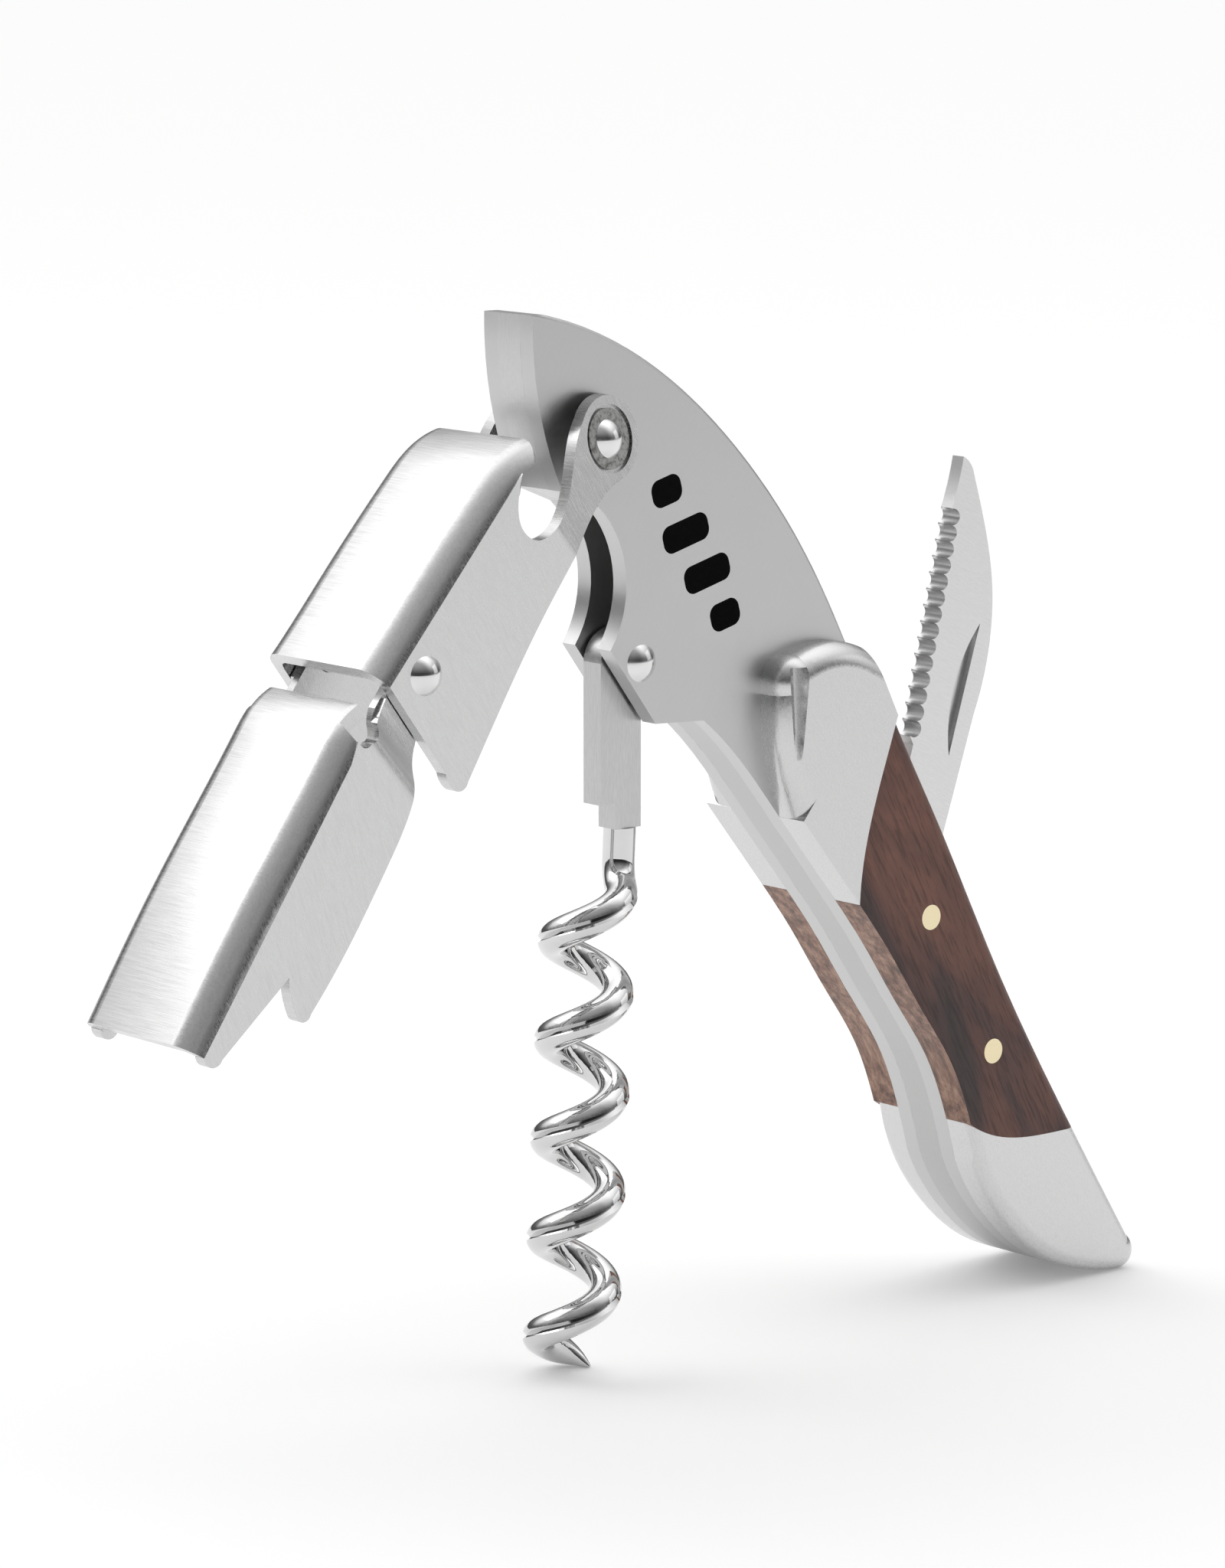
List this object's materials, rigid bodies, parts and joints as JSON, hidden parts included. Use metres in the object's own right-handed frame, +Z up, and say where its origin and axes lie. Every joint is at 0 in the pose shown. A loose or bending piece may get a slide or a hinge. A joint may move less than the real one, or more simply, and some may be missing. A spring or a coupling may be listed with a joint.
{
  "type": "waiters corkscrew",
  "caption": "Folding waiter's corkscrew with a wood and steel handle, hinged worm, jointed stepped lever with cap lifter, and a serrated foil knife.",
  "frame": {"origin": "middle of the bounding box on the surface that the worm tip and the tail stand on", "axes": "+X from the lever towards the handle's tail, +Y across the thickness to the far side, +Z up from the surface"},
  "size_m": [0.1166, 0.018, 0.098],
  "materials": {
    "plate_steel": "satin, finely brushed",
    "spring_steel": "satin, brushed along its length",
    "bolster_steel": "polished satin",
    "lever_steel": "satin cover, polished edges",
    "washer_steel": "matt, lightly mottled",
    "rivet_steel": "polished",
    "worm_chrome": "bright plated",
    "tang_steel": "brushed",
    "blade_steel": "brushed aslant",
    "rosewood": "oiled, low sheen",
    "pin_brass": "polished flush",
    "inlay_black": "matt black"
  },
  "bodies": {
    "handle": {"left_side_plate": "plate_steel", "right_side_plate": "plate_steel", "nose_block": "plate_steel", "front_spine": "spring_steel", "leaf_spring": "spring_steel", "left_bolster": "bolster_steel", "right_bolster": "bolster_steel", "left_end_cap": "bolster_steel", "right_end_cap": "bolster_steel", "worm_rivet": "rivet_steel", "left_scale": "rosewood", "right_scale": "rosewood", "knife_pin": "pin_brass", "tail_pin": "pin_brass", "left_inlay_1": "inlay_black", "left_inlay_2": "inlay_black", "left_inlay_3": "inlay_black", "left_inlay_4": "inlay_black", "right_inlay_1": "inlay_black", "right_inlay_2": "inlay_black", "right_inlay_3": "inlay_black", "right_inlay_4": "inlay_black"},
    "upper_lever": {"upper_lever": "lever_steel", "lever_rivet": "rivet_steel", "left_lever_washer": "washer_steel", "right_lever_washer": "washer_steel", "knee_rivet": "rivet_steel"},
    "lower_lever": {"lower_lever": "lever_steel"},
    "worm": {"worm_tang": "tang_steel", "worm_wire": "worm_chrome"},
    "knife": {"foil_knife": "blade_steel"}
  },
  "joints": [
    {"name": "lever_fold", "type": "hinge", "parent": "handle", "child": "upper_lever", "pos_m": [-0.0095, 0, 0.0869], "axis": [0, -1, 0], "range_deg": [-30, 58]},
    {"name": "knee", "type": "hinge", "parent": "upper_lever", "child": "lower_lever", "pos_m": [-0.0324, 0, 0.0682], "axis": [0, -1, 0], "range_deg": [-22, 10]},
    {"name": "worm_fold", "type": "hinge", "parent": "handle", "child": "worm", "pos_m": [-0.0036, 0, 0.0659], "axis": [0, -1, 0], "range_deg": [-17, 33]},
    {"name": "knife_fold", "type": "hinge", "parent": "handle", "child": "knife", "pos_m": [0.0297, 0, 0.0388], "axis": [0, -1, 0], "range_deg": [-90, 39]}
  ],
  "couplings": [
    {"joint": "worm_fold", "follows": "lever_fold", "ratio": 0.5667}
  ]
}
